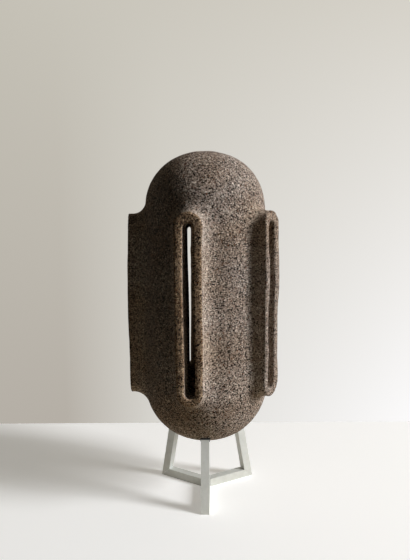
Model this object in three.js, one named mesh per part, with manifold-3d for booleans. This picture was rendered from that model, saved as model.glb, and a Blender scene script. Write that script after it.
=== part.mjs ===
// Hand-built stoneware vessel on a small welded steel stand.
// The vessel is a closed capsule: a base bowl, a barrel wall and a dome, luted together, with five tall
// slotted fins round it that open into the hollow inside. It rests in a three-legged cradle of square bar.
// Millimetres, +Z up. The origin is on the floor under the stand's centre. The front fin points along -Y.
import * as THREE from "three";
import { mergeVertices } from "three/addons/utils/BufferGeometryUtils.js";
import Module from "manifold-3d";

// Vessel
const BOWL_RADIUS = 91; // outside, where the round base becomes the barrel
const DOME_RADIUS = 87; // outside, where the barrel becomes the dome
const DOME_RISE = 84;
const FULLNESS = 2.15; // of the base and the dome: at 2 they are plain ellipses, above it they are fuller
const WALL = 10; // stoneware, the same all over
const BARREL_HEIGHT = 248; // from the widest part of the base to the foot of the dome
const BOWL_LIP = 34; // how far below the base's widest part the bowl is luted to the barrel wall
const SEGMENTS = 60; // facets round the vessel
const ARC_STEPS = 9; // facets from a pole to the widest part

// Fins, each a flattened tube that stands out of the wall and shows a tall round-ended ring from the front.
// Turn is in degrees from the front (-Y) towards +X. Proud is how far the outer face stands out past the
// base's radius. Sink is how far the lower end lies below the base's widest part, and drop how far the upper
// end lies below the foot of the dome.
const FINS = [
  { name: "fin_front", turn: 0, proud: 16, sink: 11, drop: 5 },
  { name: "fin_right", turn: 67, proud: 21, sink: 10.5, drop: 2 },
  { name: "fin_back_right", turn: 137, proud: 21, sink: 14, drop: 6 },
  { name: "fin_back_left", turn: -152.2, proud: 20, sink: 16, drop: 7 },
  { name: "fin_left", turn: -73.5, proud: 20, sink: 20, drop: 3 },
];
const FIN_HALF_WIDTH = 18.5;
const FIN_EDGE = 4; // rounding of the outer rim
const FILLET_OUT = 12; // how far the clay fillet climbs the fin
const FILLET_WIDE = 13; // how far it spreads over the wall
const FILLET_EDGE = 0.9; // thickness of the fillet where it ends
const SLOT_HALF_WIDTH = 6.3;
const WINDOW_HALF_WIDTH = 9; // of the opening in the wall behind each slot
const SLOT_RIM_BELOW = 10; // clay left under the slot
const SLOT_RIM_ABOVE = 14; // clay left over it
const SLOT_LIP = 1.2; // rounding of the slot's mouth
const LUTE_GAP = 0.3; // between a fin's root and the wall

// Stand
const BAR = 12; // square steel bar
const FOOT_REACH = 80.5; // from the centre to the outer bottom corner of each foot
const CRADLE_RADIUS = 55; // where the uprights carry the vessel, from its axis
const CRADLE_HEIGHT = 97.5; // floor to that point
const PAD = 2; // rubber pad on each upright
const PAD_LIP = 0.8; // how far the pad stands out past the bar
const WELD_GAP = 0.3; // between two welded bars, and between a bar and its pad
const REST_GAP = 0.3; // between the pads and the vessel
const STAND_TURN = 11; // degrees from the front (-Y) to the front leg, towards +X
const LEGS = { front: 0, right: 120, left: -120 }; // degrees from the front leg

// Facets of the round forms of a fin
const END_STEPS = 8;
const SLOT_END_STEPS = 6;
const FILLET_STEPS = 4;
const EDGE_STEPS = 3;

// Worked out from the sizes above
const radians = THREE.MathUtils.degToRad;
const cradleDrop = radiusAt(CRADLE_RADIUS, BOWL_RADIUS, BOWL_RADIUS);
const bowlSeam = CRADLE_HEIGHT + cradleDrop; // height of the base's widest part
const domeSeam = bowlSeam + BARREL_HEIGHT;
const luteHeight = bowlSeam - BOWL_LIP;

const stoneware = new THREE.MeshStandardMaterial({ color: 0x6e6154, roughness: 0.95, metalness: 0 });
const steel = new THREE.MeshStandardMaterial({ color: 0xb4b6b0, roughness: 0.45, metalness: 0.8 });
const rubber = new THREE.MeshStandardMaterial({ color: 0x1c1b1a, roughness: 0.9, metalness: 0 });

const wasm = await Module();
wasm.setup();

function solidOf(geometry) {
  const bare = new THREE.BufferGeometry().setAttribute("position", geometry.getAttribute("position"));
  if (geometry.index) bare.setIndex(geometry.index);
  const merged = mergeVertices(bare, 1e-3);
  return new wasm.Manifold(
    new wasm.Mesh({
      numProp: 3,
      vertProperties: merged.attributes.position.array,
      triVerts: new Uint32Array(merged.index.array),
    }),
  );
}

function geometryOf(solid) {
  const mesh = solid.getMesh();
  const geometry = new THREE.BufferGeometry()
    .setAttribute("position", new THREE.BufferAttribute(mesh.vertProperties, 3))
    .setIndex(new THREE.BufferAttribute(mesh.triVerts, 1));
  geometry.computeVertexNormals();
  return geometry;
}

// The radius of a base or dome at a distance from its widest part.
function radiusAt(distance, radius, rise) {
  return radius * Math.max(1 - (distance / rise) ** FULLNESS, 0) ** (1 / FULLNESS);
}

// The profile of a base or dome, from its pole to its widest part, as points across and up.
function arc(radius, rise) {
  const points = [];
  for (let i = 0; i <= ARC_STEPS; i++) {
    const angle = (Math.PI / 2) * (i / ARC_STEPS);
    const [across, up] = [Math.sin(angle), Math.cos(angle)].map((share) => share ** (2 / FULLNESS));
    points.push([radius * across, rise * up]);
  }
  return points;
}

// The capsule as one solid, with its surface moved out by an offset, or in by a negative one.
function capsule(offset) {
  const bowl = arc(BOWL_RADIUS + offset, BOWL_RADIUS + offset);
  const dome = arc(DOME_RADIUS + offset, DOME_RISE + offset);
  const points = [
    ...bowl.map(([across, up]) => new THREE.Vector2(across, bowlSeam - up)),
    ...dome.reverse().map(([across, up]) => new THREE.Vector2(across, domeSeam + up)),
  ];
  return solidOf(new THREE.LatheGeometry(points, SEGMENTS).rotateX(Math.PI / 2));
}

// How far the wall stands out along -Y from the plane through the axis, at a place across that plane.
function wallOut(across, height) {
  let radius = BOWL_RADIUS + ((DOME_RADIUS - BOWL_RADIUS) * (height - bowlSeam)) / BARREL_HEIGHT;
  if (height < bowlSeam) radius = radiusAt(bowlSeam - height, BOWL_RADIUS, BOWL_RADIUS);
  if (height > domeSeam) radius = radiusAt(height - domeSeam, DOME_RADIUS, DOME_RISE);
  return Math.sqrt(Math.max(radius ** 2 - across ** 2, 0));
}

// The round-ended outline of a fin or slot, as points across and up.
function stadium(halfWidth, low, high, steps) {
  const points = [];
  for (const [end, centre] of [[0, high - halfWidth], [Math.PI, low + halfWidth]]) {
    for (let i = 0; i <= steps; i++) {
      const angle = end + (Math.PI * i) / steps;
      points.push([halfWidth * Math.cos(angle), centre + halfWidth * Math.sin(angle)]);
    }
  }
  return points;
}

// A closed solid that runs out along -Y through a list of stations. Each station gives how much the outline
// grows there and how far out it lies, which may differ from point to point.
function loft({ halfWidth, low, high, steps }, stations) {
  const positions = [];
  const faces = [];
  const add = (across, out, up) => positions.push(across, -out, up) / 3 - 1;
  const rings = stations.map(({ grow, out }) => {
    const outline = stadium(halfWidth + grow, low - grow, high + grow, steps);
    return outline.map(([across, up]) => add(across, out(across, up), up));
  });
  const count = rings[0].length;
  for (let s = 0; s + 1 < rings.length; s++) {
    for (let i = 0; i < count; i++) {
      const j = (i + 1) % count;
      const [a, b, c, d] = [rings[s][i], rings[s][j], rings[s + 1][j], rings[s + 1][i]];
      faces.push(a, b, c, a, c, d);
    }
  }
  const middle = (low + high) / 2;
  for (const [ring, station] of [[rings[0].toReversed(), stations[0]], [rings.at(-1), stations.at(-1)]]) {
    const centre = add(0, station.out(0, middle), middle);
    ring.forEach((point, i) => faces.push(centre, point, ring[(i + 1) % count]));
  }
  return new THREE.BufferGeometry()
    .setAttribute("position", new THREE.Float32BufferAttribute(positions, 3))
    .setIndex(faces);
}

// The slot of one fin, or the window in the wall behind it, cut right through both.
function slotSolid({ proud, sink, drop }, halfWidth) {
  const reach = BOWL_RADIUS + proud;
  const low = bowlSeam - sink + SLOT_RIM_BELOW;
  const high = domeSeam - drop - SLOT_RIM_ABOVE;
  const outline = { halfWidth, low, high, steps: SLOT_END_STEPS };
  return solidOf(
    loft(outline, [
      { grow: 0, out: () => DOME_RADIUS - 3 * WALL },
      { grow: 0, out: () => reach - SLOT_LIP },
      { grow: 2 * SLOT_LIP, out: () => reach + SLOT_LIP },
    ]),
  );
}

// One fin. Its fillet rides on the wall, then its sides run straight out to the rounded rim.
function finSolid({ proud, sink, drop }) {
  const reach = BOWL_RADIUS + proud;
  const ends = { low: bowlSeam - sink, high: domeSeam - drop };
  const stations = [{ grow: FILLET_WIDE, out: () => BOWL_RADIUS - 3 * WALL }];
  for (let i = 0; i <= FILLET_STEPS; i++) {
    const angle = (Math.PI * i) / (2 * FILLET_STEPS);
    const climb = FILLET_EDGE + (FILLET_OUT - FILLET_EDGE) * (1 - Math.cos(angle));
    stations.push({
      grow: FILLET_WIDE * (1 - Math.sin(angle)),
      out: (across, up) => wallOut(across, up) + climb,
    });
  }
  for (let i = 0; i <= EDGE_STEPS; i++) {
    const angle = (Math.PI * i) / (2 * EDGE_STEPS);
    stations.push({
      grow: -FIN_EDGE * (1 - Math.cos(angle)),
      out: () => reach - FIN_EDGE * (1 - Math.sin(angle)),
    });
  }
  return solidOf(loft({ halfWidth: FIN_HALF_WIDTH, ...ends, steps: END_STEPS }, stations));
}

// A bar or pad, drawn in the upright plane of its leg, x outwards and y up, and given its width.
function plate(outline, width) {
  const shape = new THREE.Shape(outline.map(([x, y]) => new THREE.Vector2(x, y)));
  const geometry = new THREE.ExtrudeGeometry(shape, { depth: width, bevelEnabled: false });
  return solidOf(geometry.translate(0, 0, -width / 2).rotateX(Math.PI / 2));
}

// Each upright leans in from the foot's outer corner, and is cut off square to the vessel's base.
const seatTilt = Math.atan((CRADLE_RADIUS / cradleDrop) ** (FULLNESS - 1));
const seat = {
  x: CRADLE_RADIUS + (REST_GAP + PAD) * Math.sin(seatTilt),
  y: CRADLE_HEIGHT - (REST_GAP + PAD) * Math.cos(seatTilt),
};
const reachIn = FOOT_REACH - seat.x;
const lean = Math.atan2(reachIn, seat.y) - Math.asin(BAR / 2 / Math.hypot(reachIn, seat.y));
const seatHalf = BAR / 2 / Math.cos(seatTilt - lean);
const mitreTop = FOOT_REACH - BAR * Math.tan(Math.PI / 4 + lean / 2);

// A point on the cut end, along it outwards and towards the vessel.
function onSeat(along, up) {
  return [
    seat.x + along * Math.cos(seatTilt) - up * Math.sin(seatTilt),
    seat.y + along * Math.sin(seatTilt) + up * Math.cos(seatTilt),
  ];
}

function uprightSolid() {
  return plate([[FOOT_REACH, 0], onSeat(seatHalf, 0), onSeat(-seatHalf, 0), [mitreTop, BAR]], BAR);
}

// The front foot bar runs through the centre, and the two others are mitred against its sides.
function footSolid(turn) {
  const through = turn === 0 ? -BAR * Math.sin(radians(60)) : 0;
  const outer = [[FOOT_REACH - WELD_GAP, 0], [mitreTop - WELD_GAP, BAR]];
  const bar = plate([[through, 0], ...outer, [through, BAR]], BAR);
  if (turn === 0) return bar;
  const normal = [Math.abs(Math.sin(turn)), Math.sign(turn) * Math.cos(turn), 0];
  return bar.trimByPlane(normal, BAR / 2 + WELD_GAP);
}

function padSolid() {
  const half = seatHalf + PAD_LIP;
  const low = WELD_GAP;
  const high = 2 * PAD + REST_GAP;
  const outline = [onSeat(half, low), onSeat(half, high), onSeat(-half, high), onSeat(-half, low)];
  return plate(outline, BAR + 2 * PAD_LIP);
}

const object = new THREE.Group();
const stand = new THREE.Group();
const vessel = new THREE.Group();
object.add(stand, vessel);

function place(parent, name, solid, material, turn = 0) {
  const mesh = new THREE.Mesh(geometryOf(solid), material);
  mesh.name = name;
  mesh.rotation.z = turn;
  parent.add(mesh);
}

const shell = capsule(0).subtract(capsule(-WALL));
const [aboveLute, base] = shell.splitByPlane([0, 0, 1], luteHeight);
const [dome, wall] = aboveLute.splitByPlane([0, 0, 1], domeSeam);
let barrel = wall;
for (const fin of FINS) {
  barrel = barrel.subtract(slotSolid(fin, WINDOW_HALF_WIDTH).rotate([0, 0, fin.turn]));
}
place(vessel, "base_bowl", base, stoneware);
place(vessel, "barrel_wall", barrel, stoneware);
place(vessel, "top_dome", dome, stoneware);
for (const fin of FINS) {
  const root = capsule(LUTE_GAP).rotate([0, 0, -fin.turn]);
  const hollow = finSolid(fin).subtract(root).subtract(slotSolid(fin, SLOT_HALF_WIDTH));
  place(vessel, fin.name, hollow, stoneware, radians(fin.turn));
}

for (const [side, degrees] of Object.entries(LEGS)) {
  const heading = STAND_TURN - 90 + degrees;
  const rest = capsule(REST_GAP).rotate([0, 0, -heading]);
  place(stand, `foot_bar_${side}`, footSolid(radians(degrees)), steel, radians(heading));
  place(stand, `upright_${side}`, uprightSolid(), steel, radians(heading));
  place(stand, `rest_pad_${side}`, padSolid().subtract(rest), rubber, radians(heading));
}

export default object;
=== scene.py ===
"""The finished look of a hand-built stoneware lantern vessel on its welded steel stand."""

import math

import bpy
import numpy as np
from mathutils import Matrix, Vector


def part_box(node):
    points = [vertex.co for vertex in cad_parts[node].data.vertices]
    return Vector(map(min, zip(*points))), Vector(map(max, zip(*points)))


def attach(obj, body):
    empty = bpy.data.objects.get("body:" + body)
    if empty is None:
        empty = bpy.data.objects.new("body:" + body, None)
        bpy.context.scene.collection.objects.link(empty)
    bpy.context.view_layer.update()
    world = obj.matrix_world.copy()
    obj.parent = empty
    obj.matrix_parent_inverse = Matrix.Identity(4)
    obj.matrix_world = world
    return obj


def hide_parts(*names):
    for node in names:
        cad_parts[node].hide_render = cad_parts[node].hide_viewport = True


bl_info = {
    "name": "Stoneware lantern vessel",
    "version": (1, 0, 0),
    "blender": (4, 5, 0),
    "location": "3D View > Sidebar > Lantern",
    "description": "Builds a slotted stoneware vessel on a three-legged steel stand",
    "category": "Object",
}

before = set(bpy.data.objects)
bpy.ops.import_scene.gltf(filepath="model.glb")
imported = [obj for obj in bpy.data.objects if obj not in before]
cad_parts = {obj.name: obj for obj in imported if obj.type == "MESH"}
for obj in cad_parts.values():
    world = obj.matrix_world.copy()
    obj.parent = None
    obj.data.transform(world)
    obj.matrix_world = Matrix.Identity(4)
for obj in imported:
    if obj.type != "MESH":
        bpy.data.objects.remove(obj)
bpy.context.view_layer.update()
MM = 0.001

CLAY_PARTS = ("base_bowl", "barrel_wall", "top_dome")
SIDES = ("front", "right", "left")
# What the hand made different on each fin, seen from outside. Lengths are in millimetres, and a pair
# holds the length at the fin's foot and the one at its head.
# lean: how far the fin stands to the left, and wider: how much wider each half of it is than most
# stray and cut_wider: the same for its slot
# proud: how much further out its face stands, and slope: how fast the face rises towards the left
# fillet: how far the worked-in clay reaches along the wall, and the rim's tint: how brown and dark the
# rim is, up to 1, partly its own colour and partly painted shade, in full on the shaded front rim
FINS = {
    "fin_front": {
        "lean": (-1.7, 0), "wider": (-1.7, 0.6), "stray": (-2.2, 0.6), "cut_wider": (1.4, 0.3),
        "proud": 0, "slope": 0.13, "fillet": 20, "brown_and_shade": 1,
    },
    "fin_right": {
        "lean": (-2.5, -3.7), "wider": (0.3, 0), "stray": (-1.2, -2.2), "cut_wider": (1.8, 2),
        "proud": -3, "slope": 0, "fillet": 13, "brown_and_shade": 0.1,
    },
    "fin_back_right": {
        "lean": (0.6, -0.8), "wider": (0.4, -0.3), "stray": (0.4, -0.9), "cut_wider": (-0.4, 0.3),
        "proud": -1, "slope": -0.02, "fillet": 16, "brown_and_shade": 0.5,
    },
    "fin_back_left": {
        "lean": (-0.5, -1.5), "wider": (-0.2, 0.3), "stray": (0.8, 0.1), "cut_wider": (-2.6, -0.5),
        "proud": 0, "slope": 0, "fillet": 16, "brown_and_shade": 0.5,
    },
    "fin_left": {
        "lean": (0.3, -0.3), "wider": (-0.4, 0.4), "stray": (0.3, -0.3), "cut_wider": (-0.2, 0.4),
        "proud": 0, "slope": 0, "fillet": 16, "brown_and_shade": 0.5,
    },
}

# How deep a fin and its slot run back into the body, from the fin's outer face
FIN_DEEP = 52 * MM
# How far inside the barrel's outer face the wider windows begin
WINDOW_DEEP = 3 * MM
# The radius between a slot and the hollow
SLOT_BLEND = 3 * MM
# The base is true up to the lower height, where it sits on the pads, and fully uneven from the upper one
TRUE_BASE = (110 * MM, 160 * MM)
# The size of the marks that scraping leaves
SCRAPE_SIZE = 9 * MM
# How far behind a fin's face its wiped rim begins and is wiped in full
WIPED = (3 * MM, 1 * MM)
# How far from a fin the painted highlight on its fillet ends, and up to where it is in full
FILLET_HIGHLIGHT = (14.4 * MM, 2.4 * MM)
# Half the depth over which the fillets' painted highlight fades at the wall's face
FILLET_HIGHLIGHT_FADE = 2 * MM

# The spacing of the clay's grog, its sand and the patches of its fired colour
GROG_SIZE = 1.9 * MM
SAND_SIZE = 1 * MM
DRIFT_SIZE = 70 * MM
# The radius of the largest grain, as a share of the grog's spacing
GROG_RADIUS = 0.65
# How much the fillets' painted highlight hides the grains and pales the sand
FILLET_HIGHLIGHT_COVER = 0.1
FILLET_HIGHLIGHT_PALE = 0.14
# The blotches and the grinding marks on the steel, and the bloom on the rubber
MOTTLE_SIZE = 9 * MM
GRIND_SIZE = 0.8 * MM
BLOOM_SIZE = 3 * MM

# The photograph's frame, in pixels
IMAGE_WIDTH = 410
IMAGE_HEIGHT = 560
SENSOR_MM = 36

# The table and the wall reach past what the camera sees
TABLE_HALF_WIDTH = 3
TABLE_HALF_DEPTH = 1.6
WALL_HALF_WIDTH = 4
WALL_HALF_HEIGHT = 2.5
WALL_MIDDLE = 1.0
# The heights on the wall between which its shades are graded
WALL_GRADED = (-0.41, 1.31)
# How far from the stand's centre the table throws its light back in full, and where the room is dark
TABLE_THROWS = (0.15, 0.4)
# The height on the vessel's axis that the window's light is aimed at
WINDOW_AIM = 0.3


# Small sums


def between(pair, share):
    """A length between a pair in millimetres, in metres."""
    return (pair[0] + (pair[1] - pair[0]) * share) * MM


def rise(value, start, end):
    """A share that goes from 0 to 1 while a value goes from start to end."""
    return np.clip((value - start) / (end - start), 0, 1)


# Measures read from the frame


def points_of(node):
    """A CAD node's corners as an array, in metres."""
    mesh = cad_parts[node].data
    points = np.empty(len(mesh.vertices) * 3)
    mesh.vertices.foreach_get("co", points)
    return points.reshape(-1, 3)


def fin_place(node):
    """Where a fin stands: its outward direction, its reach and the ends of its outer face."""
    points = points_of(node)
    middle = points[:, :2].mean(axis=0)
    out = middle / np.hypot(*middle)
    along = points[:, :2] @ out
    face = points[along > along.max() - MM, 2]
    hand = FINS[node]
    reach = along.max() + hand["proud"] * MM
    return {"out": out, "reach": reach, "low": face.min(), "high": face.max(), **hand}


def vessel_form():
    """The capsule's radii and the heights where they change."""
    bowl, barrel, dome = (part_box(name) for name in CLAY_PARTS)
    bowl_radius = barrel[1][0]
    return {
        "bowl_radius": bowl_radius,
        "bowl_height": bowl[0][2] + bowl_radius,
        "dome_radius": dome[1][0],
        "dome_height": dome[0][2],
        "dome_rise": dome[1][2] - dome[0][2],
    }


# Solid shapes as signed distances, in metres, negative inside the clay


def join_rounded(a, b, radius):
    """The union of two shapes, with a fillet where they meet."""
    u = np.maximum(radius - a, 0)
    v = np.maximum(radius - b, 0)
    return np.maximum(radius, np.minimum(a, b)) - np.hypot(u, v)


def meet_rounded(a, b, radius):
    """What two shapes share, with its edge rounded over."""
    return -join_rounded(-a, -b, radius)


def capsule(form, fullness, x, y, z, inset=0.0):
    """The closed vessel without its fins, drawn in by an inset."""
    low, high = form["bowl_height"], form["dome_height"]
    radius = form["bowl_radius"] + (form["dome_radius"] - form["bowl_radius"]) * rise(z, low, high)
    squash = form["dome_radius"] / form["dome_rise"]
    past = np.where(z > high, (z - high) * squash, np.maximum(low - z, 0))
    return (np.hypot(x, y) ** fullness + past**fullness) ** (1 / fullness) - radius + inset


def stadium(across, z, low, high, half_width):
    """A tall round-ended outline."""
    half = (high - low) / 2 - half_width
    past = np.maximum(np.abs(z - (low + high) / 2) - half, 0)
    return np.hypot(across, past) - half_width


def hand_waver(x, y, z):
    """The slow unevenness that a hand leaves in a wall, in and out by up to 1."""
    turn = np.arctan2(y, x)
    wave = np.sin(2 * turn + 31 * z + 0.7) + 0.7 * np.sin(3 * turn - 24 * z + 2.1)
    wave += 0.6 * np.sin(5 * turn + 47 * z + 4.0) + 0.5 * np.sin(71 * z + turn + 1.3)
    return wave / 2.8


# Values from -1 to 1 at the corners of a lattice, the same in every run
LATTICE = np.random.default_rng(11).random((24, 24, 24)) * 2 - 1


def lattice_noise(x, y, z, size):
    """Smooth noise from -1 to 1 that changes over a size."""
    places = [np.asarray(axis) / size for axis in (x, y, z)]
    cells = [np.floor(place).astype(int) for place in places]
    shares = [place - cell for place, cell in zip(places, cells)]
    shares = [share * share * (3 - 2 * share) for share in shares]
    total = 0
    for i in (0, 1):
        for j in (0, 1):
            for k in (0, 1):
                weight = 1
                for step, share in zip((i, j, k), shares):
                    weight = weight * (share if step else 1 - share)
                corner = tuple((cell + step) % len(LATTICE) for cell, step in zip(cells, (i, j, k)))
                total = total + weight * LATTICE[corner]
    return total


class Clay:
    """The whole fired body: walls, fins, slots and hollow, as one signed distance."""

    def __init__(self, sizes):
        self.sizes = sizes
        self.form = vessel_form()
        self.fins = [fin_place(name) for name in FINS]

    def fin_axes(self, fin, x, y, z):
        """Distances to a fin's left and out from its bowed outer face, and the share of its height."""
        out_x, out_y = fin["out"]
        height = rise(z, fin["low"], fin["high"])
        bow = self.sizes.fin_bow * np.sin(math.pi * height**0.75)
        across = x * out_y - y * out_x
        out = x * out_x + y * out_y - fin["reach"] - bow - fin["slope"] * across
        # The fin wanders to the side like a line drawn by hand
        wander = self.sizes.wander * np.sin(34 * z + 9 * out_x)
        return across + wander, out, height

    def fin(self, fin, x, y, z):
        """A fin before its slot is cut, from its face back into the body."""
        sizes = self.sizes
        across, out, height = self.fin_axes(fin, x, y, z)
        edge = sizes.rim_rounding
        across = across - between(fin["lean"], height)
        half_width = sizes.fin_half_width + between(fin["wider"], height)
        outline = stadium(across, z, fin["low"] - edge, fin["high"] + edge, half_width)
        shape = meet_rounded(outline, out, edge)
        return np.maximum(shape, -out - FIN_DEEP)

    def slot(self, fin, x, y, z):
        """A fin's slot, and the wider window in the wall behind it."""
        sizes = self.sizes
        across, out, height = self.fin_axes(fin, x, y, z)
        edge = sizes.rim_rounding
        low = fin["low"] - edge + sizes.slot_rim_below
        high = fin["high"] + edge - sizes.slot_rim_above
        across = across - between(fin["stray"], height)
        half_width = sizes.slot_half_width + between(fin["cut_wider"], height)
        mouth = stadium(across, z, low, high, half_width)
        behind = np.hypot(x, y) - self.form["bowl_radius"] + WINDOW_DEEP
        window = np.maximum(stadium(across, z, low, high, sizes.window_half_width), behind)
        return np.maximum(np.minimum(mouth, window), -out - FIN_DEEP)

    def outside(self, x, y, z):
        """The body with its fins and their fillets, and the unevenness of the hand."""
        sizes = self.sizes
        walls = capsule(self.form, sizes.fullness, x, y, z)
        body = walls
        for fin in self.fins:
            # A fillet reaches along the wall by its width, and up the fin's side by a share of that side
            width = fin["fillet"] * MM
            swept = walls * width / (sizes.fillet_out * (fin["reach"] - self.form["bowl_radius"]))
            body = np.minimum(body, join_rounded(swept, self.fin(fin, x, y, z), width))
        uneven = sizes.waver * hand_waver(x, y, z) + sizes.scrape * lattice_noise(x, y, z, SCRAPE_SIZE)
        return body + uneven * rise(z, *TRUE_BASE)

    def hollow(self, x, y, z):
        """The space inside, with the slots that lead out of it."""
        space = capsule(self.form, self.sizes.fullness, x, y, z, self.sizes.wall)
        for fin in self.fins:
            space = join_rounded(space, self.slot(fin, x, y, z), SLOT_BLEND)
        return space

    def __call__(self, x, y, z):
        """The clay itself: the outside without the hollow, with rounded lips."""
        return meet_rounded(self.outside(x, y, z), -self.hollow(x, y, z), self.sizes.lip)

    def wear(self, points):
        """From 0 to 1, how much of a wiped fin rim, whose tint is partly painted shade, and of a fillet
        with its painted highlight each point is.
        """
        x, y, z = points.T
        body = capsule(self.form, self.sizes.fullness, x, y, z)
        rim, fillet_highlight = np.zeros(len(points)), np.zeros(len(points))
        for fin in self.fins:
            across, out, _ = self.fin_axes(fin, x, y, z)
            near = np.abs(across) < 1.3 * self.sizes.fin_half_width
            face = rise(-out, *WIPED)
            # A rim's browner, darker tint: partly the clay's own colour, partly painted shade
            rim = np.maximum(rim, np.where(near, face * fin["brown_and_shade"], 0))
            # The fillets' painted highlight: paler clay that fades away from the fin and behind the
            # wall's face
            side = rise(self.fin(fin, x, y, z), *FILLET_HIGHLIGHT) * (1 - face)
            fillet_highlight = np.maximum(fillet_highlight, side * rise(body, -FILLET_HIGHLIGHT_FADE, FILLET_HIGHLIGHT_FADE))
        return {"rim": rim, "fillet_highlight": fillet_highlight}


def skin(distance, low, high, step):
    """The surface where distance is zero: points, one in each crossed cell, and four-sided faces."""
    grid = np.meshgrid(*[np.arange(a, b, step) for a, b in zip(low, high)], indexing="ij")
    value = distance(*grid)
    cells = np.array(value.shape) - 1
    total = np.zeros((*cells, 3))
    hits = np.zeros(cells)
    for axis in range(3):
        for first in (0, 1):
            for second in (0, 1):
                shift = np.insert([first, second], axis, 0)
                start = tuple(slice(s, s + n) for s, n in zip(shift, cells))
                shift[axis] = 1
                end = tuple(slice(s, s + n) for s, n in zip(shift, cells))
                crossed = (value[start] < 0) != (value[end] < 0)
                gap = np.where(crossed, value[start] - value[end], 1)
                place = np.array(shift, dtype=float)
                for i in range(3):
                    share = value[start] / gap if i == axis else place[i]
                    total[..., i] += np.where(crossed, share, 0)
                hits += crossed
    used = hits > 0
    number = np.full(value.shape, -1)
    number[:-1, :-1, :-1][used] = np.arange(used.sum())
    corner = np.argwhere(used)
    points = np.array(low) + step * (corner + total[used] / hits[used][:, None])
    faces = []
    for axis in range(3):
        b, c = (axis + 1) % 3, (axis + 2) % 3
        ahead = np.roll(value, -1, axis)
        crossed = np.argwhere((value < 0) != (ahead < 0))
        crossed = crossed[(crossed > 0).all(axis=1) & (crossed < cells).all(axis=1)]
        ring = []
        for back_b, back_c in ((1, 1), (0, 1), (0, 0), (1, 0)):
            cell = crossed.copy()
            cell[:, b] -= back_b
            cell[:, c] -= back_c
            ring.append(number[tuple(cell.T)])
        quads = np.stack(ring, axis=1)
        leaves = value[tuple(crossed.T)] < 0
        faces.append(np.where(leaves[:, None], quads, quads[:, ::-1]))
    return points, np.concatenate(faces)


def settle(points, distance, reach):
    """Moves points on to the true surface, by at most a reach."""
    small = 0.1 * MM
    # Where the distance hardly changes, in a crease, the move is held back
    least_size = 0.2
    start = points
    for _ in range(3):
        x, y, z = points.T
        here = distance(x, y, z)
        steps = (distance(x + small, y, z), distance(x, y + small, z), distance(x, y, z + small))
        slope = np.stack([step - here for step in steps], axis=1) / small
        size = np.maximum((slope**2).sum(axis=1), least_size)
        points = points - slope * (here / size)[:, None]
        points = start + np.clip(points - start, -reach, reach)
    return points


def mesh_object(name, points, faces):
    """A smooth-shaded object of points and faces."""
    mesh = bpy.data.meshes.new(name)
    mesh.from_pydata(points.tolist(), [], faces.tolist())
    mesh.shade_smooth()
    thing = bpy.data.objects.new(name, mesh)
    bpy.context.collection.objects.link(thing)
    return thing


# Materials


def linear(code):
    """An sRGB hex colour as a linear colour."""
    channels = [int(code[i : i + 2], 16) / 255 for i in (1, 3, 5)]
    return [c / 12.92 if c <= 0.04045 else ((c + 0.055) / 1.055) ** 2.4 for c in channels] + [1.0]


def add(tree, kind, links=None, **settings):
    """Adds a node. Links are its inputs: a socket is joined, and anything else is set."""
    node = tree.nodes.new(kind)
    for name, value in settings.items():
        setattr(node, name, value)
    for name, value in (links or {}).items():
        if isinstance(value, bpy.types.NodeSocket):
            tree.links.new(value, node.inputs[name])
        else:
            node.inputs[name].default_value = value
    return node


def ramp(tree, factor, stops, interpolation="LINEAR"):
    """A colour ramp with stops of (place, linear colour)."""
    node = add(tree, "ShaderNodeValToRGB", {"Fac": factor})
    node.color_ramp.interpolation = interpolation
    elements = node.color_ramp.elements
    while len(elements) < len(stops):
        elements.new(0.5)
    for element, (place, colour) in zip(elements, stops):
        element.position = place
        element.color = colour
    return node.outputs["Color"]


def mix_colours(tree, factor, a, b, blend="MIX"):
    """Two colours mixed by a factor."""
    links = {"Factor": factor, "A": a, "B": b}
    return add(tree, "ShaderNodeMix", links, data_type="RGBA", blend_type=blend).outputs["Result"]


def mix_shaders(tree, factor, a, b):
    """Two shaders mixed by a factor."""
    return add(tree, "ShaderNodeMixShader", {0: factor, 1: a, 2: b}).outputs["Shader"]


def add_shaders(tree, a, b):
    """Two shaders' light in one."""
    return add(tree, "ShaderNodeAddShader", {0: a, 1: b}).outputs["Shader"]


def diffuse(tree, colour):
    """A plain matt face."""
    return add(tree, "ShaderNodeBsdfDiffuse", {"Color": colour}).outputs["BSDF"]


def emission(tree, colour, strength=1.0):
    """Light of its own."""
    return add(tree, "ShaderNodeEmission", {"Color": colour, "Strength": strength}).outputs["Emission"]


def calculate(tree, operation, *values, **settings):
    """The result of a sum on numbers or sockets."""
    links = dict(enumerate(values))
    return add(tree, "ShaderNodeMath", links, operation=operation, **settings).outputs["Value"]


def map_range(tree, value, start, end, low=0.0, high=1.0):
    """A value that goes from low to high while another goes from start to end."""
    limits = {"Value": value, "From Min": start, "From Max": end, "To Min": low, "To Max": high}
    return add(tree, "ShaderNodeMapRange", limits).outputs["Result"]


def noise(tree, place, size, detail):
    """A soft mottle with patches of a size."""
    links = {"Vector": place, "Scale": 1 / size, "Detail": detail}
    return add(tree, "ShaderNodeTexNoise", links).outputs["Fac"]


def grains(tree, place, size):
    """Grains of a size: the distance from each one's middle, and three random shares of its own."""
    cells = add(tree, "ShaderNodeTexVoronoi", {"Vector": place, "Scale": 1 / size}).outputs
    shares = add(tree, "ShaderNodeSeparateColor", {"Color": cells["Color"]}).outputs
    return cells["Distance"], *shares


def relief(tree, height, strength, depth):
    """A surface direction that follows a fine relief."""
    links = {"Height": height, "Strength": strength, "Distance": depth}
    return add(tree, "ShaderNodeBump", links).outputs["Normal"]


def new_material(name):
    """An empty material and its node tree."""
    material = bpy.data.materials.new(name)
    material.use_nodes = True
    tree = material.node_tree
    tree.nodes.clear()
    return material, tree


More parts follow.
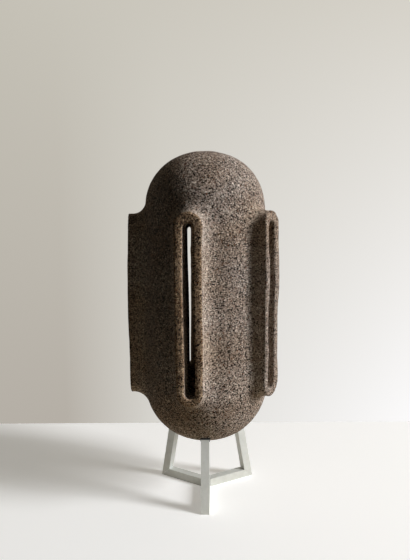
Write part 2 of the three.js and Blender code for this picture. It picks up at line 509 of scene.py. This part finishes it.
def attribute(tree, name):
    """A number that the mesh carries at each point."""
    return add(tree, "ShaderNodeAttribute", attribute_name=name).outputs["Fac"]


def object_place(tree):
    """Where a point lies on the object."""
    return add(tree, "ShaderNodeTexCoord").outputs["Object"]


def finish_material(tree, shader):
    """Puts a shader on the material's surface."""
    add(tree, "ShaderNodeOutputMaterial", {"Surface": shader})


def finish_solid(tree, finish):
    """Puts a solid finish on the material's surface."""
    finish_material(tree, add(tree, "ShaderNodeBsdfPrincipled", finish).outputs["BSDF"])


def grogged_stoneware(colours):
    """Unglazed stoneware with coarse grog, scraped and fired dark: matt, with light and dark grains."""
    material, tree = new_material("grogged_stoneware_scraped")
    place = object_place(tree)
    # The mesh carries where the rims are and where the fillets get their painted highlight
    rim, fillet_highlight = (attribute(tree, name) for name in ("rim", "fillet_highlight"))
    # Grog in round grains of up to 2.5 mm: most are dark, some rusty and a few nearly white
    off_middle, size, kind, _ = grains(tree, place, GROG_SIZE)
    # Between the grains lies sand of 1 mm in four tones
    _, tone, _, _ = grains(tree, place, SAND_SIZE)
    # A painted highlight on the fillets at each fin's foot: paler sand that hides more of the grains
    cover = calculate(tree, "MULTIPLY_ADD", fillet_highlight, FILLET_HIGHLIGHT_COVER, off_middle)
    paler = calculate(tree, "MULTIPLY_ADD", fillet_highlight, FILLET_HIGHLIGHT_PALE, tone)
    # A grain shows up to its own radius
    past_edge = calculate(tree, "MULTIPLY_ADD", size, -GROG_RADIUS, cover)
    shows = calculate(tree, "LESS_THAN", past_edge, 0.0)
    dark, clay, light, pale = (
        linear(code) for code in (colours.clay_dark, colours.clay, colours.clay_light, colours.grog)
    )
    grain = ramp(tree, kind, [(0, dark), (0.88, linear(colours.iron)), (0.975, pale)], "CONSTANT")
    fines = ramp(tree, paler, [(0, dark), (0.17, clay), (0.6, light), (0.9, pale)], "CONSTANT")
    speckle = mix_colours(tree, shows, fines, grain)
    # The fired colour drifts from grey to brown over a hand's width, and is browner and darker on the
    # wiped rims, partly the clay's own colour and partly painted shade
    toast = map_range(tree, noise(tree, place, DRIFT_SIZE, 2.0), 0.35, 0.75)
    toasted = mix_colours(tree, toast, speckle, linear(colours.toast), "MULTIPLY")
    colour = mix_colours(tree, rim, toasted, linear(colours.rim), "MULTIPLY")
    # The grains stand a little proud of the scraped clay, which has hardly any sheen
    height = calculate(tree, "ADD", shows, tone)
    finish = {
        "Base Color": colour,
        "Roughness": 0.93,
        "IOR": 1.5,
        "Specular IOR Level": 0.15,
        "Normal": relief(tree, height, 0.6, 0.3 * MM),
    }
    finish_solid(tree, finish)
    return material


def ground_mild_steel(colours):
    """Square mild-steel bar, ground with a belt and sealed with a matt lacquer that scatters light."""
    material, tree = new_material("mild_steel_belt_ground")
    place = object_place(tree)
    mottle = noise(tree, place, MOTTLE_SIZE, 4.0)
    grind = noise(tree, place, GRIND_SIZE, 2.0)
    shades = [(0.3, linear(colours.steel_dark)), (0.7, linear(colours.steel))]
    finish = {
        "Base Color": ramp(tree, mottle, shades),
        "Metallic": 0.3,
        "Roughness": map_range(tree, mottle, 0.0, 1.0, 0.42, 0.5),
        "Normal": relief(tree, grind, 0.15, 0.1 * MM),
    }
    finish_solid(tree, finish)
    return material


def rubber_pads_and_contact_shade(colours):
    """Black rubber sheet, cut to the bar: matt, with a faint dusty bloom. Its black is partly painted
    contact shade where each upright meets the vessel.
    """
    material, tree = new_material("black_rubber_and_contact_shade")
    bloom = noise(tree, object_place(tree), BLOOM_SIZE, 3.0)
    shades = [(0.3, linear(colours.rubber)), (0.8, linear(colours.rubber_bloom))]
    finish = {
        "Base Color": ramp(tree, bloom, shades),
        "Roughness": 0.8,
        "Normal": relief(tree, bloom, 0.3, 0.1 * MM),
    }
    finish_solid(tree, finish)
    return material


def seen_rays(tree):
    """One for rays from the camera or off a glossy or clear surface, and nothing for other light."""
    path = add(tree, "ShaderNodeLightPath").outputs
    both = calculate(tree, "ADD", path["Is Camera Ray"], path["Is Glossy Ray"])
    return calculate(tree, "ADD", both, path["Is Transmission Ray"], use_clamp=True)


def across_and_up(tree, place, right, width, low, high):
    """Shares from 0 to 1 of a place across the view and up it."""
    links = {0: place, 1: right}
    across = add(tree, "ShaderNodeVectorMath", links, operation="DOT_PRODUCT").outputs["Value"]
    up = add(tree, "ShaderNodeSeparateXYZ", {"Vector": place}).outputs["Z"]
    return map_range(tree, across, -width, width), map_range(tree, up, low, high)


def plastered_wall(colours, right, width):
    """A pale matt wall that daylight from the right grades from grey to white."""
    material, tree = new_material("plastered_wall")
    place = add(tree, "ShaderNodeNewGeometry").outputs["Position"]
    across, up = across_and_up(tree, place, right, width, *WALL_GRADED)
    left, middle, edge = (
        linear(code) for code in (colours.wall_low_left, colours.wall_low_middle, colours.wall_low_right)
    )
    foot = ramp(tree, across, [(0.15, left), (0.4, middle), (1, edge)])
    head = mix_colours(tree, across, linear(colours.wall_high_left), linear(colours.wall_high_right))
    seen = emission(tree, mix_colours(tree, up, foot, head))
    # The lit wall throws a little light on what faces it
    plain = diffuse(tree, linear(colours.unseen))
    thrown = add_shaders(tree, plain, emission(tree, linear(colours.sky), colours.wall_glow))
    finish_material(tree, mix_shaders(tree, seen_rays(tree), thrown, seen))
    return material


def painted_table(colours):
    """A white matt table top, which keeps the shadow that falls on it."""
    material, tree = new_material("painted_table")
    lit = diffuse(tree, linear(colours.table))
    seen = add_shaders(tree, lit, emission(tree, linear(colours.table_shade), colours.table_glow))
    # The table is small: beyond it the room is dark and throws little light back
    place = add(tree, "ShaderNodeNewGeometry").outputs["Position"]
    away = add(tree, "ShaderNodeVectorMath", {0: place}, operation="LENGTH").outputs["Value"]
    beyond = map_range(tree, away, *TABLE_THROWS)
    thrown = diffuse(
        tree, mix_colours(tree, beyond, linear(colours.table_unseen), linear(colours.dark_room))
    )
    finish_material(tree, mix_shaders(tree, seen_rays(tree), thrown, seen))
    return material


# Settings


def length(name, description, default):
    """A setting in metres."""
    return bpy.props.FloatProperty(
        name=name, description=description, default=default, min=0, subtype="DISTANCE", unit="LENGTH"
    )


def angle(name, description, degrees):
    """A setting that is shown in degrees."""
    turn = math.radians(degrees)
    return bpy.props.FloatProperty(
        name=name, description=description, default=turn, subtype="ANGLE", unit="ROTATION"
    )


def number(name, description, default, least=0):
    """A setting without a unit."""
    return bpy.props.FloatProperty(name=name, description=description, default=default, min=least)


def shade(name, description, default):
    """A colour setting."""
    return bpy.props.StringProperty(name=name, description=description, default=default)


class VesselSettings(bpy.types.PropertyGroup):
    """Sizes and colours of the fired clay body"""

    wall: length("Wall", "Thickness of the clay", 10 * MM)
    fin_half_width: length("Fin half width", "Half the width of a fin", 18.5 * MM)
    rim_rounding: length("Rim rounding", "Radius of a fin's outer rim", 1.5 * MM)
    fillet_out: number("Fillet", "Share of a fin's side that its worked-in clay covers", 0.88, 0.1)
    fin_bow: length("Fin bow", "How far a fin's outer face bows out", 2 * MM)
    fullness: number("Fullness", "Of the base and dome: 2 is round, more is fuller", 2.15, 2)
    slot_half_width: length("Slot half width", "Half the width of a slot", 5.9 * MM)
    window_half_width: length("Window half width", "Of the opening in the wall behind a slot", 9 * MM)
    slot_rim_below: length("Rim below the slot", "Clay left under a slot", 10 * MM)
    slot_rim_above: length("Rim above the slot", "Clay left over a slot", 14 * MM)
    lip: length("Slot lip", "Radius of a slot's wiped edge", 1.2 * MM)
    waver: length("Waver", "Most that the hand-built wall strays", 0.8 * MM)
    wander: length("Wander", "Most that a fin strays to its side on its way up", 0.4 * MM)
    scrape: length("Scrape marks", "Depth of the marks that scraping leaves", 0.25 * MM)
    step: length("Mesh step", "Size of one face of the clay's mesh", 2.72 * MM)
    clay: shade("Clay", "sRGB hex colour of the fired clay", "#9A8A80")
    clay_dark: shade("Dark grains", "sRGB hex colour of the dark grains", "#15110E")
    clay_light: shade("Light grains", "sRGB hex colour of the light grains", "#BEAEA2")
    grog: shade("Grog", "sRGB hex colour of the palest grog", "#F5EBDF")
    iron: shade("Iron grains", "sRGB hex colour of the rusty grains", "#6B4630")
    toast: shade("Toast", "sRGB hex tint that the fired clay drifts towards", "#F0E4D4")
    # The rims' tint is partly the clay's own colour and partly painted shade
    rim: shade("Rim tint", "sRGB hex tint of the wiped rims", "#FFEED4")


class StandSettings(bpy.types.PropertyGroup):
    """Sizes and colours of the stand and its pads"""

    edge: length("Bar edge", "Radius of a bar's ground edges", 0.6 * MM)
    steel: shade("Steel", "sRGB hex colour of the ground steel", "#E0E3E0")
    steel_dark: shade("Dark steel", "sRGB hex colour where it is ground less", "#D5D8D4")
    # The pads' near black is partly their own colour and partly painted contact shade under the vessel
    rubber: shade("Rubber", "sRGB hex colour of the pads", "#1B1A19")
    rubber_bloom: shade("Bloom", "sRGB hex colour of the pads' bloom", "#2E2C2A")


class StageSettings(bpy.types.PropertyGroup):
    """Places and colours of the camera, the room and its light"""

    camera_distance: length("Camera distance", "From the vessel's axis, on the level", 737.6 * MM)
    camera_height: length("Camera height", "Above the floor", 390.6 * MM)
    camera_side: length("Camera side", "How far left of the vessel's axis it stands", 0.5 * MM)
    camera_turn: angle("Camera turn", "How far round from the front fin, towards the right", 12.5)
    camera_pitch: angle("Camera pitch", "How far it looks down", 5.57)
    camera_roll: angle("Camera roll", "How far it leans", -0.31)
    focal_pixels: number("Focal length", "In pixels of the photograph's frame", 500, 1)
    table_depth: length("Table depth", "From the stand's centre to the table's far edge", 255 * MM)
    wall_depth: length("Wall depth", "From the stand's centre to the wall", 1350 * MM)
    table: shade("Table", "sRGB hex colour of the table", "#FBFCFE")
    table_shade: shade("Table in shade", "sRGB hex colour of the light that its shadows keep", "#F9F7F1")
    table_glow: number("Table glow", "How much the table shows without light", 0.335)
    table_unseen: shade("Table's light", "sRGB hex colour with which it throws light back", "#F2E4C8")
    wall_high_left: shade("Wall, high left", "sRGB hex colour there", "#C4C0B5")
    wall_high_right: shade("Wall, high right", "sRGB hex colour there", "#D6D2C9")
    wall_low_middle: shade("Wall, low middle", "sRGB hex colour there", "#DAD8D2")
    wall_low_left: shade("Wall, low left", "sRGB hex colour there", "#B5AFA6")
    wall_low_right: shade("Wall, low right", "sRGB hex colour there", "#FBFAFA")
    unseen: shade("Wall's light", "sRGB hex colour with which it throws light back", "#7F7260")
    wall_glow: number("Wall glow", "Strength of the light that the lit wall throws", 0.09)
    dark_room: shade("Dark room", "sRGB hex colour with which the rest throws light back", "#3A3733")
    sky: shade("Sky fill", "sRGB hex colour of the light from the rest of the room", "#FFF2D2")
    window_away: length("Window distance", "From the stand's centre, on the level", 4.5)
    window_wide: length("Window width", "Across its opening", 1.13)
    window_tall: length("Window tall", "Up its opening", 2.47)
    window_turn: angle("Window turn", "How far round from the camera, towards the right", 73)
    window_height: angle("Window height", "How far up its middle is, seen from the vessel", 26)
    key: number("Window light", "Power of the window in watts", 268)
    fill: number("Fill light", "Strength of the light from the rest of the room", 0.028)


# Building


class LANTERN_OT_vessel(bpy.types.Operator):
    """Builds the fired clay body, with its fins, slots and hollow, as one skin"""

    bl_idname = "lantern.vessel"
    bl_label = "Stoneware vessel"

    def execute(self, context):
        sizes = context.scene.lantern_vessel
        clay = Clay(sizes)
        boxes = [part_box(name) for name in (*CLAY_PARTS, *FINS)]
        margin = 3 * sizes.step
        low = np.min([box[0] for box in boxes], axis=0) - margin
        high = np.max([box[1] for box in boxes], axis=0) + margin
        points, faces = skin(clay, low, high, sizes.step)
        points = settle(points, clay, sizes.step / 2)
        body = mesh_object("stoneware_vessel", points, faces)
        # The rims and the fillets' painted highlight go on the mesh as attributes
        for name, values in clay.wear(points).items():
            body.data.attributes.new(name, "FLOAT", "POINT").data.foreach_set("value", values)
        body.data.materials.append(grogged_stoneware(sizes))
        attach(body, "vessel")
        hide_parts(*CLAY_PARTS, *FINS)
        return {"FINISHED"}


class LANTERN_OT_stand(bpy.types.Operator):
    """Grinds the stand's bar edges and gives the bars and pads their finish"""

    bl_idname = "lantern.stand"
    bl_label = "Steel stand"

    def execute(self, context):
        sizes = context.scene.lantern_stand
        steel = ground_mild_steel(sizes)
        # The pads' black is partly painted contact shade where each upright meets the vessel
        rubber = rubber_pads_and_contact_shade(sizes)
        for side in SIDES:
            for node in (f"foot_bar_{side}", f"upright_{side}", f"rest_pad_{side}"):
                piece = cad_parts[node]
                piece.data.materials.clear()
                piece.data.materials.append(rubber if node.startswith("rest_pad") else steel)
                bevel = piece.modifiers.new("ground_edges", "BEVEL")
                bevel.width = sizes.edge
                bevel.segments = 3
                bevel.limit_method = "ANGLE"
                bevel.angle_limit = math.radians(30)
        return {"FINISHED"}


class LANTERN_OT_stage(bpy.types.Operator):
    """Sets the camera, the table, the wall behind it and the window light"""

    bl_idname = "lantern.stage"
    bl_label = "Stage"

    def execute(self, context):
        scene = context.scene
        sizes = scene.lantern_stage
        turn = sizes.camera_turn
        towards = Vector((-math.sin(turn), math.cos(turn), 0))
        right = Vector((math.cos(turn), math.sin(turn), 0))
        place_camera(scene, sizes, towards, right)
        place_room(sizes, towards, right)
        place_window(scene, sizes, towards, right)
        light_room(scene, sizes, right)
        scene.view_settings.view_transform = "Standard"
        return {"FINISHED"}


def place_camera(scene, sizes, towards, right):
    """Stands the camera where the photograph was taken."""
    data = bpy.data.cameras.new("camera")
    data.sensor_width = SENSOR_MM
    data.lens = sizes.focal_pixels * SENSOR_MM / IMAGE_HEIGHT
    data.clip_start = 0.01
    data.clip_end = 20
    camera = bpy.data.objects.new("camera", data)
    scene.collection.objects.link(camera)
    place = -towards * sizes.camera_distance - right * sizes.camera_side
    place.z = sizes.camera_height
    turn = Matrix.Rotation(sizes.camera_turn, 4, "Z")
    pitch = Matrix.Rotation(math.pi / 2 - sizes.camera_pitch, 4, "X")
    roll = Matrix.Rotation(sizes.camera_roll, 4, "Z")
    camera.matrix_world = Matrix.Translation(place) @ turn @ pitch @ roll
    scene.camera = camera


def sheet_object(name, centre, side, up, material):
    """A flat four-cornered stage surface."""
    corners = [centre + a * side + b * up for a, b in ((-1, -1), (1, -1), (1, 1), (-1, 1))]
    thing = mesh_object(name, np.array(corners), np.array([[0, 1, 2, 3]]))
    thing.data.materials.append(material)


def place_room(sizes, towards, right):
    """The table under the stand and the wall well behind it, wider than the camera sees."""
    centre = towards * (sizes.table_depth - TABLE_HALF_DEPTH)
    reach = towards * TABLE_HALF_DEPTH
    sheet_object("table", centre, right * TABLE_HALF_WIDTH, reach, painted_table(sizes))
    # The camera sees this much of the wall to each side
    depth = sizes.camera_distance + sizes.wall_depth
    width = depth * IMAGE_WIDTH / 2 / sizes.focal_pixels
    middle = towards * sizes.wall_depth + Vector((0, 0, WALL_MIDDLE))
    up = Vector((0, 0, WALL_HALF_HEIGHT))
    sheet_object("wall", middle, right * WALL_HALF_WIDTH, up, plastered_wall(sizes, right, width))


def place_window(scene, sizes, towards, right):
    """A tall soft window to the right and a little in front."""
    key = bpy.data.lights.new("window", "AREA")
    key.energy = sizes.key
    key.shape = "RECTANGLE"
    key.size = sizes.window_wide
    key.size_y = sizes.window_tall
    lamp = bpy.data.objects.new("window", key)
    scene.collection.objects.link(lamp)
    lamp.visible_camera = False
    side = right * math.sin(sizes.window_turn) - towards * math.cos(sizes.window_turn)
    aim = -sizes.window_away * (side + Vector((0, 0, math.tan(sizes.window_height))))
    place = Vector((0, 0, WINDOW_AIM)) - aim
    lamp.matrix_world = Matrix.Translation(place) @ aim.to_track_quat("-Z", "Y").to_matrix().to_4x4()


def light_room(scene, sizes, right):
    """A weak warm fill from the rest of the room, which is dark on the left and light on the right."""
    world = bpy.data.worlds.new("room")
    world.use_nodes = True
    tree = world.node_tree
    tree.nodes.clear()
    fill = add(tree, "ShaderNodeBackground", {"Color": linear(sizes.sky), "Strength": sizes.fill})
    way = add(tree, "ShaderNodeTexCoord").outputs["Generated"]
    across, _ = across_and_up(tree, way, right, 1, -1, 1)
    shade_across = mix_colours(tree, across, linear(sizes.wall_low_left), linear(sizes.wall_low_right))
    seen = add(tree, "ShaderNodeBackground", {"Color": shade_across})
    both = mix_shaders(tree, seen_rays(tree), fill.outputs[0], seen.outputs[0])
    add(tree, "ShaderNodeOutputWorld", {"Surface": both})
    scene.world = world


class LANTERN_PT_panel(bpy.types.Panel):
    """Lists the settings and the steps that build the lantern vessel"""

    bl_idname = "LANTERN_PT_panel"
    bl_label = "Lantern vessel"
    bl_space_type = "VIEW_3D"
    bl_region_type = "UI"
    bl_category = "Lantern"

    def draw(self, context):
        for group, operator in STEPS:
            settings = getattr(context.scene, group)
            box = self.layout.box()
            for name in settings.bl_rna.properties.keys():
                if name not in ("rna_type", "name"):
                    box.prop(settings, name)
            box.operator(operator.bl_idname)


STEPS = (
    ("lantern_vessel", LANTERN_OT_vessel),
    ("lantern_stand", LANTERN_OT_stand),
    ("lantern_stage", LANTERN_OT_stage),
)
GROUPS = {
    "lantern_vessel": VesselSettings,
    "lantern_stand": StandSettings,
    "lantern_stage": StageSettings,
}
CLASSES = (*GROUPS.values(), *(operator for _, operator in STEPS), LANTERN_PT_panel)


def register():
    for cls in CLASSES:
        bpy.utils.register_class(cls)
    for name, group in GROUPS.items():
        setattr(bpy.types.Scene, name, bpy.props.PointerProperty(type=group))


def unregister():
    for name in GROUPS:
        delattr(bpy.types.Scene, name)
    for cls in reversed(CLASSES):
        bpy.utils.unregister_class(cls)


def main():
    register()
    bpy.ops.lantern.vessel()
    bpy.ops.lantern.stand()
    bpy.ops.lantern.stage()


if __name__ == "__main__":
    main()
